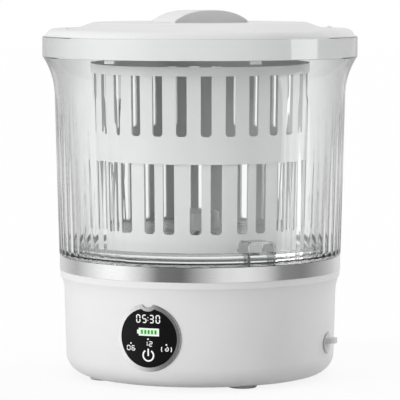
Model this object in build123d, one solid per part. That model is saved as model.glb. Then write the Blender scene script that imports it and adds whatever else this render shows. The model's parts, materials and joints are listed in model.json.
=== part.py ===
from build123d import *

import math
import os

# Mini washing machine for a shelf or table top. Millimetres, +Z up.
# The origin is the centre of the footprint, on the table, and the display faces -Y.
# Angles round the machine are in degrees from the display, turning towards +X.

os.makedirs("parts", exist_ok=True)

# Clearances
flat_gap = 0.3
slip_gap = 0.15
screw_gap = 0.05
fit_gap = 0.03

# Base shell
foot_stand = 1.6
base_height = 71.2
base_radius = 92.0
base_corner = 14.0
base_wall = 2.4
base_draft = 1.2
base_flare = 2.1
base_flare_rise = 10.0
base_lip_step = 0.6
base_lip_height = 4.3
flange_width = 4.0
flange_thickness = 2.4

# Bottom cover, its posts and the feet
cover_reach = 5.8
cover_thickness = 2.4
cover_rim_height = 2.2
cover_rim_width = 1.6
pad_height = 1.6
pad_radius = 5.6
post_inset = 18.8
post_radius = 4.3
post_angle = 22.5
post_rib = 2.4
foot_radius = 9.6
foot_inset = 7.0
foot_sink = 0.8
foot_chamfer = 0.6
foot_angle = 45.0

# Trim ring and clear tub
ring_height = 10.3
ring_thickness = 1.2
ring_proud = 0.4
spigot_wall = 2.2
tub_height = 149.0
tub_wall = 2.2
tub_floor = 2.5
tub_step = 1.5
tub_draft = 2.8
tub_flare_radius = 45.0
tub_flare_drop = 40.0
collar_overhang = 11.1
collar_wall = 2.0
collar_height = 13.6
ledge_width = 1.4
flute_count = 64
flute_depth = 0.75
flute_radius = 6.0
flute_length = 96.0
flute_start = 5.0
window_angle = 22.0
window_half = 31.0

# Drain
drain_inset = 14.85
drain_angle = 47.0
drain_bore = 4.0
drain_wall = 1.2
drain_spigot = 10.0
hose_wall = 1.5
hose_bend_share = 0.45
outlet_rise = 23.9
outlet_bore = 5.0
outlet_wall = 2.6
outlet_reach = 14.0
outlet_flange = 3.0
barb_length = 18.0
barb_bore = 3.4
hood_width = 20.0
hood_height = 15.8
hood_depth = 15.8
hood_wall = 1.6
hood_corner = 3.5
plug_depth = 9.0
plug_head = 1.4
plug_proud = 0.9
tab_reach = 6.8
tab_height = 3.4
tab_width = 9.0
tab_lift = 1.7

# Deck, bearings and seal
deck_thickness = 3.0
deck_boss = 14.5
deck_rib = 2.2
deck_rib_depth = 7.0
deck_rib_count = 8
standoff_circle = 50.0
standoff_radius = 4.5
standoff_angle = 45.0
bearing_radius = 11.0
bearing_width = 7.0
bearing_shield = 0.8
bearing_ring = 2.0
race_radius = 6.2
bulkhead_radius = 10.8
gasket_width = 6.0
gasket_thickness = 1.2
nut_height = 2.6
nut_width = 5.2
seal_radius = 8.0
seal_height = 4.6
seal_lip = 1.0
seal_taper = 0.6
seal_rim = 1.2

# Drive line
shaft_radius = 4.0
shaft_flat = 1.0
shaft_flat_length = 14.0
drive_drop = 27.6
plate_thickness = 3.0
relief_radius = 7.0
relief_circle = 35.0
gear_module = 1.0
gear_teeth = 64
pinion_teeth = 16
gear_width = 7.0
gear_lift = 4.5
gear_web = 3.0
tooth_backlash = 0.45
tooth_root = 1.25
tooth_tip = 0.9
pressure_angle = 20.0
motor_radius = 17.5
motor_length = 37.0
motor_cap = 4.0
motor_shaft_radius = 1.6
motor_boss = 6.5
motor_screw_circle = 12.5

# Pulsator
pulsator_radius = 57.0
pulsator_lift = 0.7
pulsator_plate = 2.2
pulsator_skirt = 3.8
vane_count = 6
vane_height = 5.2
vane_thickness = 4.0
vane_bend = 60.0
vane_shoulder = 45.6
hub_shoulder = 14.0
hub_flats = 18.0
hub_height = 15.0

# Basket
basket_seat = 13.0
basket_boss = 2.0
basket_floor = 2.5
basket_radius = 70.6
basket_draft = 0.9
basket_wall = 2.2
basket_height = 126.0
basket_skirt = 11.0
basket_corner = 2.0
band_step = 1.2
band_height = 18.3
upper_draft = 1.1
rim_height = 5.9
rim_step = 1.2
slot_count = 28
slot_turn = -1.0
slot_corner = 2.4
upper_slot_width = 7.2
upper_slot_height = 40.1
lower_slot_width = 7.8
lower_slot_height = 46.7
lower_slot_spread = 13.7
floor_slots = 20
floor_slot_width = 3.2
socket_gap = 0.25
socket_wall = 2.6

# Lid and grip
lid_wall = 2.2
lid_shoulder = 0.6
bead_rise = 5.1
bead_inset = 6.8
valley_drop = 1.0
valley_inset = 17.3
plateau_rise = 9.4
plateau_radius = 73.0
well_radius = 34.0
well_depth = 7.0
grip_rise = 8.2
grip_flat = 10.0
grip_crown = 43.5
grip_width = 26.0
grip_angle = 59.0
grip_screw = 21.0
nub_radius = 2.6
nub_circle = 97.0
nub_angle = 43.5
lug_width = 7.5
lug_height = 2.4
lug_angle = 42.1
lug_spread = 55.6

# Display
panel_rise = 34.1
panel_radius = 22.5
panel_proud = 1.0
panel_notch = 4.6
panel_notch_rise = 24.9
bezel_step = 0.6
bezel_rim = 2.7
bezel_neck = 1.0
bezel_ledge = 0.8
mask_rim = 0.8
lens_thickness = 1.4
lens_sink = 0.4
display_depth = 8.6
board_thickness = 1.6
digits_size = (19.0, 7.6)
digits_rise = 12.2
bars_size = (19.0, 6.4)
bars_rise = 3.4
key_radius = 4.6
key_spread = 11.5
key_drop = 6.4
power_drop = 11.6

# Battery, boards and cables
cell_radius = 9.2
cell_length = 65.0
cell_gap = 0.2
holder_wall = 1.6
holder_height = 13.0
holder_x = -34.2
holder_y = -9.0
control_width = 40.0
control_depth = 56.0
control_x = 26.0
control_y = -20.0
control_rise = 6.0
connector_height = 6.4
connector_width = 8.0
connector_depth = 5.0
port_rise = 15.4
port_width = 9.0
port_height = 3.2
port_depth = 7.4
charge_width = 19.0
charge_board = 1.2
bracket_thickness = 2.6
ribbon_width = 5.0
ribbon_thickness = 1.2
display_cable_x = 15.0
display_cable_drop = 5.2
motor_cable_x = 15.0
battery_cable_y = -26.0
charge_cable_x = 6.0
charge_turn_x = 30.0
cable_bend = 3.0
chip_size = 10.0
coil_radius = 4.5
port_wall = 0.35
port_sink = 0.5
port_corner = 1.45
tongue_width = 6.3
tongue_thickness = 0.7

# Screws: head radius, head height, shank radius and length
large_screw = (2.8, 1.6, 1.5, 10.0)
hub_screw = (3.4, 2.4, 1.9, 11.0)
small_screw = (1.7, 1.0, 0.9, 5.0)
display_screw = (1.4, 0.8, 0.7, 5.0)
head_chamfer_share = 0.4
cross_length_share = 1.3
cross_width_share = 0.4

# Heights that follow
base_bottom = foot_stand
corner_top = base_bottom + base_corner
lip_top = base_bottom + base_height
lip_bottom = lip_top - base_lip_height
flare_foot_z = lip_bottom - base_flare_rise
cover_top = base_bottom + cover_thickness
flange_top = cover_top + flange_thickness
pad_top = cover_top + pad_height
ring_top = lip_top + ring_height
tub_top = ring_top + tub_height
floor_top = ring_top
deck_top = floor_top - tub_floor
deck_bottom = deck_top - deck_thickness
flare_start_z = tub_top - tub_flare_drop
ledge_z = tub_top - collar_height
nut_bottom = floor_top + gasket_thickness
nut_top = nut_bottom + nut_height
plate_top = deck_bottom - drive_drop
plate_bottom = plate_top - plate_thickness
gear_bottom = plate_top + gear_lift
gear_top = gear_bottom + gear_width
boss_bottom = gear_top + gear_lift
bearing_top = boss_bottom + bearing_width
lower_bearing_z = plate_top - bearing_width
motor_bottom = plate_bottom - motor_length
pulsator_bottom = nut_top + pulsator_lift
pulsator_top = pulsator_bottom + pulsator_plate
vane_top = pulsator_top + vane_height
seat_z = floor_top + basket_seat
hub_top = seat_z + hub_height
basket_floor_z = seat_z + basket_boss
skirt_z = basket_floor_z - basket_skirt
basket_top = skirt_z + basket_height
rim_z = basket_top - rim_height
upper_slot_z = rim_z - upper_slot_height
band_z = upper_slot_z - band_height
lower_slot_z = band_z - lower_slot_height
plateau_z = tub_top + plateau_rise
well_z = plateau_z - well_depth
well_under = well_z - lid_wall
grip_top = plateau_z + grip_rise
panel_z = base_bottom + panel_rise
outlet_z = base_bottom + outlet_rise
control_z = cover_top + control_rise
port_z = base_bottom + port_rise
bracket_z = port_z - charge_board
connector_z = control_z + board_thickness

# Radii that follow
base_flat = base_radius - base_corner
foot_circle = base_flat - foot_inset
post_circle = base_radius - post_inset
cover_radius = base_flat + cover_reach
opening_radius = cover_radius + slip_gap
flange_inner = opening_radius - flange_width
wall_top_radius = base_radius + base_draft
lip_radius = wall_top_radius + base_flare + base_lip_step
ring_outer = lip_radius + ring_proud
ring_inner = ring_outer - ring_thickness
spigot_outer = ring_inner - screw_gap
spigot_inner = spigot_outer - spigot_wall
tub_foot_radius = spigot_outer + tub_step
tub_inner = tub_foot_radius - tub_wall
drain_circle = tub_inner - drain_inset
flare_foot_radius = tub_foot_radius + tub_draft
collar_radius = tub_foot_radius + collar_overhang
collar_inner = collar_radius - collar_wall
lid_radius = collar_inner - flat_gap
deck_radius = spigot_inner - flat_gap
nut_radius = bulkhead_radius + nut_width
pitch_radius = gear_module * gear_teeth / 2
pinion_pitch = gear_module * pinion_teeth / 2
motor_offset = pitch_radius + pinion_pitch
plate_radius = motor_offset + motor_radius
spigot_radius = drain_bore + drain_wall
hose_bore = spigot_radius + screw_gap
hose_radius = hose_bore + hose_wall
outlet_radius = outlet_bore + outlet_wall
band_radius = basket_radius + basket_draft + band_step
rim_radius = band_radius + upper_draft + rim_step
hole_gap = screw_gap

STANDING = (Align.CENTER, Align.CENTER, Align.MIN)
HEAD_DOWN = Rot(180, 0, 0)
HEAD_INWARD = Rot(-90, 0, 0)
QUARTERS = (0, 90, 180, 270)
FAR = 130.0


def around(radius, angle, z=0.0):
    """A place at a radius and an angle from the display, turned so that its -Y looks outwards."""
    return Rot(0, 0, angle) * Pos(0, -radius, z)


def turned(outline):
    """The solid of revolution of a closed outline of radius and height."""
    return revolve(Plane.XZ * make_face(outline), Axis.Z)


def disc(radius, bottom, top):
    return Pos(0, 0, bottom) * Cylinder(radius, top - bottom, align=STANDING)


def ring(outer, inner, bottom, top):
    return Pos(0, 0, bottom) * extrude(Circle(outer) - Circle(inner), top - bottom)


def block(width, depth, bottom, top):
    """A box centred in plan, between two heights."""
    return Pos(0, 0, bottom) * Box(width, depth, top - bottom, align=STANDING)


def screw(size):
    """A pan head screw, head up, seated at height 0."""
    head_radius, head_height, shank_radius, length = size
    head = disc(head_radius, 0, head_height)
    head = chamfer(head.edges().group_by(Axis.Z)[-1], head_height * head_chamfer_share)
    cross_length = head_radius * cross_length_share
    cross_width = head_height * cross_width_share
    cross = block(cross_length, cross_width, head_height / 2, head_height)
    return head + disc(shank_radius, -length, 0) - cross - Rot(0, 0, 90) * cross


def hole(size, depth):
    """The hole that a screw's shank runs in, downwards from height 0."""
    return disc(size[2] + hole_gap, -depth, 0)


def save(name, shape):
    shape.label = name
    export_step(shape, f"parts/{name}.step")


# Places that several pieces share

post_places = [around(post_circle, post_angle + turn) for turn in QUARTERS]
foot_places = [around(foot_circle, foot_angle + turn) for turn in QUARTERS]
standoff_places = [around(standoff_circle, standoff_angle + turn) for turn in QUARTERS]
drain_place = around(drain_circle, drain_angle)
motor_place = Pos(0, motor_offset, 0)
motor_screw_places = [motor_place * Pos(side * motor_screw_circle, 0, 0) for side in (-1, 1)]
grip_place = Rot(0, 0, grip_angle)
grip_screw_places = [grip_place * Pos(side * grip_screw, 0, 0) for side in (-1, 1)]
board_edge_x = control_width / 2 - large_screw[0]
board_edge_y = control_depth / 2 - large_screw[0]
control_place = Pos(control_x, control_y, 0)
control_screw_places = [
    control_place * Pos(side * board_edge_x, end * board_edge_y, 0)
    for side in (-1, 1)
    for end in (-1, 1)
]

holder_inner_width = 4 * cell_radius + 3 * cell_gap
holder_inner_length = cell_length + 2 * cell_gap
holder_place = Pos(holder_x, holder_y, 0)
holder_side_x = holder_x + holder_inner_width / 2 + holder_wall
charge_front = base_flat - cell_gap
charge_back = math.sqrt((base_radius - base_wall) ** 2 - (charge_width / 2) ** 2) - flat_gap
charge_screw_x = charge_width / 2 - small_screw[0]
charge_screw_places = [
    Pos(side * charge_screw_x, charge_front + small_screw[0], 0) for side in (-1, 1)
]
display_plug_z = panel_z - display_cable_drop
motor_plug_y = motor_offset - motor_radius
ribbon_z = connector_z + connector_height / 2
control_back_y = control_y + control_depth / 2
display_cable_end_y = control_y - control_depth / 2
control_plugs = (
    (display_cable_x, display_cable_end_y, 0),
    (control_x - control_width / 2, battery_cable_y, -90),
    (motor_cable_x, control_back_y, 180),
    (charge_turn_x, control_back_y, 180),
)


# The base's wall and the display that follows it

def wall_radius(z):
    """Outside radius of the base's straight, drafted wall at a height."""
    return base_radius + base_draft * (z - corner_top) / (flare_foot_z - corner_top)


def wall_body(offset):
    """All that lies inside the base's drafted wall, grown by an offset."""
    foot = (wall_radius(base_bottom) + offset, base_bottom)
    head = (wall_radius(lip_top) + offset, lip_top)
    return turned(Polyline((0, base_bottom), foot, head, (0, lip_top), close=True))


panel_plane = Plane(origin=(0, 0, panel_z), x_dir=(1, 0, 0), z_dir=(0, -1, 0))
display_y = wall_radius(panel_z) - display_depth
lens_back = panel_proud - lens_sink - lens_thickness
neck_middle = panel_radius - bezel_neck - (bezel_rim + bezel_ledge - bezel_neck) / 2
display_screw_places = [Pos(side * neck_middle, -display_y, panel_z) for side in (-1, 1)]


def panel_shape(inset):
    """The round panel with the notch in its top edge, drawn in from its rim."""
    notch = Pos(0, panel_notch_rise) * Circle(panel_notch + inset)
    return Circle(panel_radius - inset) - notch


def panel_prism(sketch, start, end=FAR):
    """A sketch on the panel, carried outwards between two distances from the axis."""
    return extrude(panel_plane.offset(start) * sketch, end - start)


def panel_sheet(inset, inner, outer):
    """A piece of the panel's shape between two offsets from the base's wall."""
    return (panel_prism(panel_shape(inset), 0) & wall_body(outer)) - wall_body(inner)


def make_panel_bezel():
    flange = panel_sheet(0, fit_gap, panel_proud - bezel_step)
    flange += panel_sheet(bezel_step, fit_gap, panel_proud)
    neck = panel_prism(panel_shape(bezel_neck), display_y) & wall_body(panel_proud)
    bezel = flange + neck
    bezel -= panel_prism(panel_shape(bezel_rim + bezel_ledge), 0)
    bezel -= panel_prism(panel_shape(bezel_rim), 0) - wall_body(lens_back)
    for place in display_screw_places:
        bezel -= place * HEAD_INWARD * hole(display_screw, display_screw[3])
    return bezel


def make_panel_lens():
    return panel_sheet(bezel_rim + slip_gap, lens_back, panel_proud - lens_sink)


def make_light_mask():
    """The black moulding that keeps each sign's light in its own well."""
    inset = bezel_rim + bezel_ledge + slip_gap
    mask = panel_prism(panel_shape(inset), display_y) & wall_body(lens_back - slip_gap)
    wells = Pos(0, digits_rise) * Rectangle(*digits_size)
    wells += Pos(0, bars_rise) * Rectangle(*bars_size)
    wells += Pos(0, -power_drop) * Circle(key_radius)
    for side in (-1, 1):
        wells += Pos(side * key_spread, -key_drop) * Circle(key_radius)
    return mask - panel_prism(wells & panel_shape(inset + mask_rim), 0)


def make_display_board():
    board = panel_prism(panel_shape(bezel_neck), display_y - board_thickness, display_y)
    for place in display_screw_places:
        board -= place * Pos(0, board_thickness, 0) * HEAD_INWARD * hole(display_screw, display_screw[3])
    plug_length = connector_depth + board_thickness / 2
    plug = block(connector_width, plug_length, -connector_height / 2, connector_height / 2)
    plug_y = board_thickness / 2 - display_y + plug_length / 2
    return board + Pos(display_cable_x, plug_y, display_plug_z) * plug


# The base

def make_base_shell():
    outer = math.degrees(math.acos((opening_radius - base_flat) / base_corner))
    inner_corner = base_corner - base_wall
    inner = math.degrees(math.asin((corner_top - flange_top) / inner_corner))
    inner_foot = base_flat + inner_corner * math.cos(math.radians(inner))
    corner = (base_flat, corner_top)
    outside = CenterArc(corner, base_corner, -outer, outer)
    inside = CenterArc(corner, inner_corner, -inner, inner)
    draft = (base_draft, flare_foot_z - corner_top)
    flare_foot = (wall_top_radius, flare_foot_z)
    flare_head = (wall_top_radius + base_flare, lip_bottom)
    inner_flare_foot = (wall_top_radius - base_wall, flare_foot_z)
    inner_flare_head = (lip_radius - base_wall, lip_bottom)
    outline = [
        outside,
        Line(outside @ 1, flare_foot),
        TangentArc(flare_foot, flare_head, tangent=draft),
        Polyline(
            flare_head,
            (lip_radius, lip_bottom),
            (lip_radius, lip_top),
            (lip_radius - base_wall, lip_top),
            inner_flare_head,
        ),
        TangentArc(inner_flare_foot, inner_flare_head, tangent=draft),
        Line(inner_flare_foot, inside @ 1),
        inside,
        Polyline(
            (inner_foot, flange_top),
            (flange_inner, flange_top),
            (flange_inner, cover_top),
            (opening_radius, cover_top),
            outside @ 0,
        ),
    ]
    shell = turned(outline)
    reach = base_radius - base_wall / 2 - post_circle
    rib_middle = post_circle + reach / 2
    for number, place in enumerate(post_places):
        rib = block(post_rib, reach, corner_top, flare_foot_z)
        shell += place * disc(post_radius, pad_top, deck_bottom)
        shell += around(rib_middle, post_angle + QUARTERS[number]) * rib
    for place in post_places:
        shell -= place * Pos(0, 0, deck_bottom) * hole(large_screw, large_screw[3])
        shell -= place * Pos(0, 0, pad_top) * HEAD_DOWN * hole(large_screw, large_screw[3])
    shell -= panel_prism(panel_shape(bezel_neck - slip_gap), 0)
    shell -= outlet_place * disc(outlet_radius + slip_gap, 0, FAR)
    shelf = base_radius - base_wall / 2 - charge_front
    bracket = block(charge_width, shelf, bracket_z - bracket_thickness, bracket_z)
    shell += Pos(0, charge_front + shelf / 2, 0) * bracket
    for place in charge_screw_places:
        shell -= place * Pos(0, 0, bracket_z) * hole(small_screw, bracket_thickness)
    window = RectangleRounded(port_width + 2 * flat_gap, port_height + 2 * flat_gap, port_height / 2)
    window_place = Plane.ZX.offset(base_flat) * Pos(port_z + port_height / 2, 0) * Rot(0, 0, 90)
    return shell - extrude(window_place * window, FAR)


def make_bottom_cover():
    outer = math.degrees(math.acos(cover_reach / base_corner))
    corner = CenterArc((base_flat, corner_top), base_corner, -90, 90 - outer)
    rim_outer = flange_inner - slip_gap
    outline = [
        Line((0, base_bottom), corner @ 0),
        corner,
        Polyline(
            corner @ 1,
            (cover_radius, cover_top),
            (rim_outer, cover_top),
            (rim_outer, cover_top + cover_rim_height),
            (rim_outer - cover_rim_width, cover_top + cover_rim_height),
            (rim_outer - cover_rim_width, cover_top),
            (0, cover_top),
            (0, base_bottom),
        ),
    ]
    cover = turned(outline)
    head_radius, head_height = large_screw[0], large_screw[1]
    for place in post_places:
        cover += place * disc(pad_radius - cover_rim_width, cover_top, pad_top)
    for place in post_places:
        cover -= place * Pos(0, 0, pad_top) * hole(large_screw, pad_top)
        cover -= place * disc(head_radius + flat_gap, 0, base_bottom + head_height + slip_gap)
    for place in foot_places:
        cover -= place * disc(foot_radius + slip_gap, 0, base_bottom + foot_sink)
    for place in control_screw_places:
        cover += place * disc(large_screw[0], cover_top, control_z)
    for place in control_screw_places:
        cover -= place * Pos(0, 0, control_z) * hole(small_screw, small_screw[3])
    return cover


def make_foot():
    foot = disc(foot_radius, 0, base_bottom + foot_sink)
    return chamfer(foot.edges().group_by(Axis.Z)[0], foot_chamfer)


def make_trim_ring():
    band = ring(ring_outer, ring_inner, lip_top, ring_top)
    rims = band.edges().filter_by(GeomType.CIRCLE).group_by(SortBy.RADIUS)[-1]
    return chamfer(rims, ring_thickness / 4)


# The clear tub

def make_tub():
    flare_width = collar_radius - collar_wall / 2 - flare_foot_radius
    flare_height = math.sqrt(tub_flare_radius**2 - (tub_flare_radius - flare_width) ** 2)
    flare_top = flare_start_z + flare_height
    inner_foot = (flare_foot_radius - tub_wall, flare_start_z)
    rise = (tub_draft, flare_start_z - ring_top)
    outline = [
        Polyline(
            (inner_foot[0], inner_foot[1]),
            (tub_inner, floor_top),
            (bulkhead_radius + slip_gap, floor_top),
            (bulkhead_radius + slip_gap, deck_top),
            (spigot_inner, deck_top),
            (spigot_inner, lip_top),
            (spigot_outer, lip_top),
            (spigot_outer, ring_top),
            (tub_foot_radius, ring_top),
            (flare_foot_radius, flare_start_z),
        ),
        TangentArc(
            (flare_foot_radius, flare_start_z), (flare_foot_radius + flare_width, flare_top), tangent=rise
        ),
        Polyline(
            (flare_foot_radius + flare_width, flare_top),
            (collar_radius, flare_top + collar_wall / 2),
            (collar_radius, tub_top),
            (collar_inner, tub_top),
            (collar_inner, ledge_z),
            (collar_inner - ledge_width, ledge_z),
        ),
        TangentArc(inner_foot, (collar_inner - ledge_width, ledge_z), tangent=rise),
    ]
    tub = turned(outline)
    spout = disc(spigot_radius, deck_bottom - drain_spigot, deck_top)
    tub += drain_place * spout
    tub -= drain_place * disc(drain_bore, deck_bottom - drain_spigot, floor_top)
    return tub - flutes()


def flutes():
    """Grooves down the tub that fade out upwards, left off where the front is a plain window."""
    low = ring_top + flute_start
    high = low + flute_length
    slope = tub_draft / (flare_start_z - ring_top)
    low_radius = tub_foot_radius + slope * (low - ring_top) + flute_radius - flute_depth
    high_radius = tub_foot_radius + slope * (high - ring_top) + flute_radius
    lean = math.degrees(math.atan2(high_radius - low_radius, high - low))
    rod = Pos(0, -low_radius, low) * Rot(lean, 0, 0) * Cylinder(flute_radius, flute_length, align=STANDING)
    groove = rod + Pos(0, -low_radius, low) * Sphere(flute_radius)
    step = 360 / flute_count
    turns = [number * step for number in range(flute_count)]
    fluted = [turn for turn in turns if abs((turn - window_angle + 180) % 360 - 180) > window_half]
    return [Rot(0, 0, turn) * groove for turn in fluted]


def make_drain_hood():
    """A clear arch over the drain, open towards the basket and on its underside."""
    outer = RectangleRounded(hood_width, 2 * hood_height, hood_corner)
    inner_size = (hood_width - 2 * hood_wall, 2 * (hood_height - hood_wall))
    inner = RectangleRounded(*inner_size, hood_corner - hood_wall)
    above = Pos(0, hood_height) * Rectangle(hood_width, 2 * hood_height)
    far_end = math.sqrt(tub_inner**2 - (hood_width / 2) ** 2) - flat_gap
    start = Plane(origin=(0, -(far_end - hood_depth), floor_top), x_dir=(1, 0, 0), z_dir=(0, -1, 0))
    arch = extrude(start * ((outer - inner) & above), hood_depth)
    return Rot(0, 0, drain_angle) * arch


# The drain's way out through the base

outlet_place = Pos(0, 0, outlet_z) * Rot(0, 90, 0)
outlet_wall_x = wall_radius(outlet_z)
elbow_x = outlet_wall_x - outlet_reach
hose_top = (drain_place * Pos(0, 0, deck_bottom - flat_gap)).position
hose_corner = (drain_place * Pos(0, 0, outlet_z)).position
elbow = Vector(elbow_x, 0, outlet_z)
hose_way = (hose_corner - elbow).normalized()
hose_end = elbow + hose_way * (outlet_radius + flat_gap)
barb_plane = Plane(origin=elbow, z_dir=hose_way)


def make_drain_hose():
    shorter_run = min((hose_top - hose_corner).length, (hose_end - hose_corner).length)
    hose_bend = hose_bend_share * shorter_run
    route = FilletPolyline(hose_top, hose_corner, hose_end, radius=hose_bend)
    section = Plane(origin=hose_top, z_dir=(0, 0, -1)) * (Circle(hose_radius) - Circle(hose_bore))
    return sweep(section, path=route)


def make_drain_outlet():
    spout = outlet_place * disc(outlet_radius, elbow_x, FAR) & wall_body(-slip_gap)
    flange_foot = outlet_wall_x - base_wall - outlet_wall
    flange = outlet_place * disc(outlet_radius + outlet_flange, flange_foot, FAR)
    flange &= wall_body(-base_wall - screw_gap)
    barb = extrude(barb_plane * Circle(spigot_radius), barb_length)
    outlet = spout + flange + Pos(*elbow) * Sphere(outlet_radius) + barb
    outlet -= outlet_place * disc(outlet_bore, elbow_x, FAR)
    return outlet - extrude(barb_plane * Circle(barb_bore), barb_length)


def make_drain_plug():
    """A rubber stopper with a flat tab to pull it by."""
    stem_end = outlet_wall_x - plug_depth
    head_end = outlet_wall_x + plug_depth
    head = outlet_place * disc(outlet_bore + plug_head, stem_end, head_end) - wall_body(slip_gap)
    stem = outlet_place * disc(outlet_bore - flat_gap, stem_end, head_end)
    tab = extrude(Plane.XY * RectangleRounded(2 * tab_reach, tab_width, tab_width / 3), tab_height)
    tab = Pos(outlet_wall_x, 0, outlet_z + tab_lift - tab_height / 2) * tab
    stopper = (head + stem) & wall_body(plug_proud)
    return stopper + (tab - wall_body(plug_proud / 2))


# Deck and drive line

def make_deck():
    deck = disc(deck_radius, deck_bottom, deck_top)
    deck += disc(deck_boss, boss_bottom, deck_bottom)
    deck += disc(bulkhead_radius, deck_top, nut_top)
    rib_end = post_circle - post_radius - 2 * flat_gap
    rib_start = deck_boss - deck_rib
    rib = block(deck_rib, rib_end - rib_start, deck_bottom - deck_rib_depth, deck_bottom)
    for number in range(deck_rib_count):
        turn = (number + 0.5) * 360 / deck_rib_count
        deck += around((rib_start + rib_end) / 2, turn) * rib
    for place in standoff_places:
        deck += place * disc(standoff_radius, plate_top, deck_bottom)
    for place in standoff_places:
        deck -= place * Pos(0, 0, plate_top) * HEAD_DOWN * hole(large_screw, large_screw[3])
    for place in post_places:
        sunk = disc(large_screw[0] + flat_gap, deck_top - large_screw[1] - slip_gap, deck_top)
        deck -= place * sunk
        deck -= place * Pos(0, 0, deck_top) * hole(large_screw, deck_thickness)
    deck -= drain_place * disc(spigot_radius + flat_gap, deck_bottom, deck_top)
    deck -= disc(bearing_radius, boss_bottom, bearing_top)
    deck -= disc(shaft_radius + 2 * flat_gap, bearing_top, nut_top)
    return deck - disc(seal_radius, nut_top - seal_height, nut_top)


def make_bearing_outer(bottom):
    """The fixed ring of a bearing, with its two shields."""
    top = bottom + bearing_width
    outer = bearing_radius - fit_gap
    track = outer - bearing_ring
    lip = race_radius + flat_gap
    return turned(
        Polyline(
            (outer, bottom),
            (outer, top),
            (lip, top),
            (lip, top - bearing_shield),
            (track, top - bearing_shield),
            (track, bottom + bearing_shield),
            (lip, bottom + bearing_shield),
            (lip, bottom),
            close=True,
        )
    )


def make_bearing_inner(bottom):
    return ring(race_radius, shaft_radius + fit_gap, bottom, bottom + bearing_width)


def make_shaft_seal():
    lip = shaft_radius + screw_gap
    body = ring(seal_radius - fit_gap, lip, nut_top - seal_height, nut_top)
    cup = turned(
        Polyline(
            (lip + seal_lip, nut_top),
            (seal_radius - seal_rim, nut_top),
            (seal_radius - seal_rim, nut_top - seal_height / 2),
            (lip + seal_lip + seal_taper, nut_top - seal_height / 2),
            close=True,
        )
    )
    return body - cup


def make_tub_nut():
    nut = extrude(RegularPolygon(nut_radius, 6), nut_height)
    nut = chamfer(nut.edges().group_by(Axis.Z)[-1], nut_height / 5)
    return Pos(0, 0, nut_bottom) * (nut - Cylinder(bulkhead_radius + screw_gap, FAR))


def make_motor_plate():
    bottom = lower_bearing_z - deck_thickness / 2
    plate = disc(plate_radius, plate_bottom, plate_top) + disc(deck_boss, bottom, plate_bottom)
    plate -= disc(bearing_radius, lower_bearing_z, plate_top)
    plate -= disc(race_radius + flat_gap, bottom, lower_bearing_z)
    plate -= motor_place * disc(motor_boss + slip_gap, plate_bottom, plate_top)
    for place in motor_screw_places:
        plate -= place * Pos(0, 0, plate_top) * hole(small_screw, plate_thickness)
    for place in standoff_places:
        plate -= place * Pos(0, 0, plate_top) * hole(large_screw, plate_thickness)
    relief = extrude(Pos(0, 0, plate_bottom) * RegularPolygon(relief_radius, 3), plate_thickness)
    for turn in (0, -90, 90):
        plate -= around(relief_circle, turn) * relief
    return plate


def toothed(teeth):
    """The outline of a spur gear, one gap centred on the angle 0 of its own X axis."""
    radius = gear_module * teeth / 2
    lean = math.tan(math.radians(pressure_angle))
    width = math.pi * gear_module - tooth_backlash * 2
    points = []
    for number in range(teeth):
        middle = 360 * (number + 0.5) / teeth
        for height, side in ((-tooth_root, -1), (tooth_tip, -1), (tooth_tip, 1), (-tooth_root, 1)):
            level = radius + height * gear_module
            half = width / 4 - height * gear_module * lean
            turn = math.radians(middle) + side * half / level
            points.append((level * math.cos(turn), level * math.sin(turn)))
    return make_face(Polyline(*points, close=True))


def make_drive_gear():
    half_tooth = 180 / gear_teeth
    gear = extrude(Rot(0, 0, 90 + half_tooth) * toothed(gear_teeth), gear_width)
    web_outer = pitch_radius - 2 * gear_module - gear_web
    web_inner = race_radius + gear_web
    pocket = extrude(Circle(web_outer) - Circle(web_inner), (gear_width - gear_web) / 2)
    gear = gear - pocket - Pos(0, 0, (gear_width + gear_web) / 2) * pocket
    hub = disc(race_radius - flat_gap, plate_top, boss_bottom)
    return Pos(0, 0, gear_bottom) * gear + hub - disc(shaft_radius + fit_gap, plate_top, boss_bottom)


def make_motor_pinion():
    pinion = extrude(Rot(0, 0, -90) * toothed(pinion_teeth), gear_width)
    pinion -= disc(motor_shaft_radius + fit_gap, 0, gear_width)
    return motor_place * Pos(0, 0, gear_bottom) * pinion


def make_motor_can():
    can = disc(motor_radius, motor_bottom + motor_cap, plate_bottom)
    can = chamfer(can.edges().group_by(Axis.Z)[-1], plate_thickness / 3)
    can += disc(motor_boss, plate_bottom, plate_top)
    can -= disc(motor_shaft_radius + 2 * screw_gap, plate_bottom - motor_length / 3, plate_top)
    can = motor_place * can
    for place in motor_screw_places:
        can -= place * Pos(0, 0, plate_bottom) * hole(small_screw, small_screw[3])
    return can


def make_motor_cap():
    cap = disc(motor_radius - flat_gap, motor_bottom, motor_bottom + motor_cap)
    tail = block(connector_width, motor_radius, motor_bottom, motor_bottom + motor_cap)
    return motor_place * (cap + Pos(motor_cable_x, -motor_radius / 2, 0) * tail)


def make_motor_shaft():
    foot = plate_bottom - motor_length / 3 + flat_gap
    return motor_place * disc(motor_shaft_radius, foot, gear_top + flat_gap)


def make_drive_shaft():
    top = hub_top - hub_screw[3] + shaft_flat
    shaft = disc(shaft_radius, lower_bearing_z - flat_gap, top)
    flat = block(2 * shaft_radius, shaft_radius, top - shaft_flat_length, top)
    shaft -= Pos(0, shaft_radius * 3 / 2 - shaft_flat, 0) * flat
    return shaft - Pos(0, 0, top) * hole(hub_screw, hub_screw[3])


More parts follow.
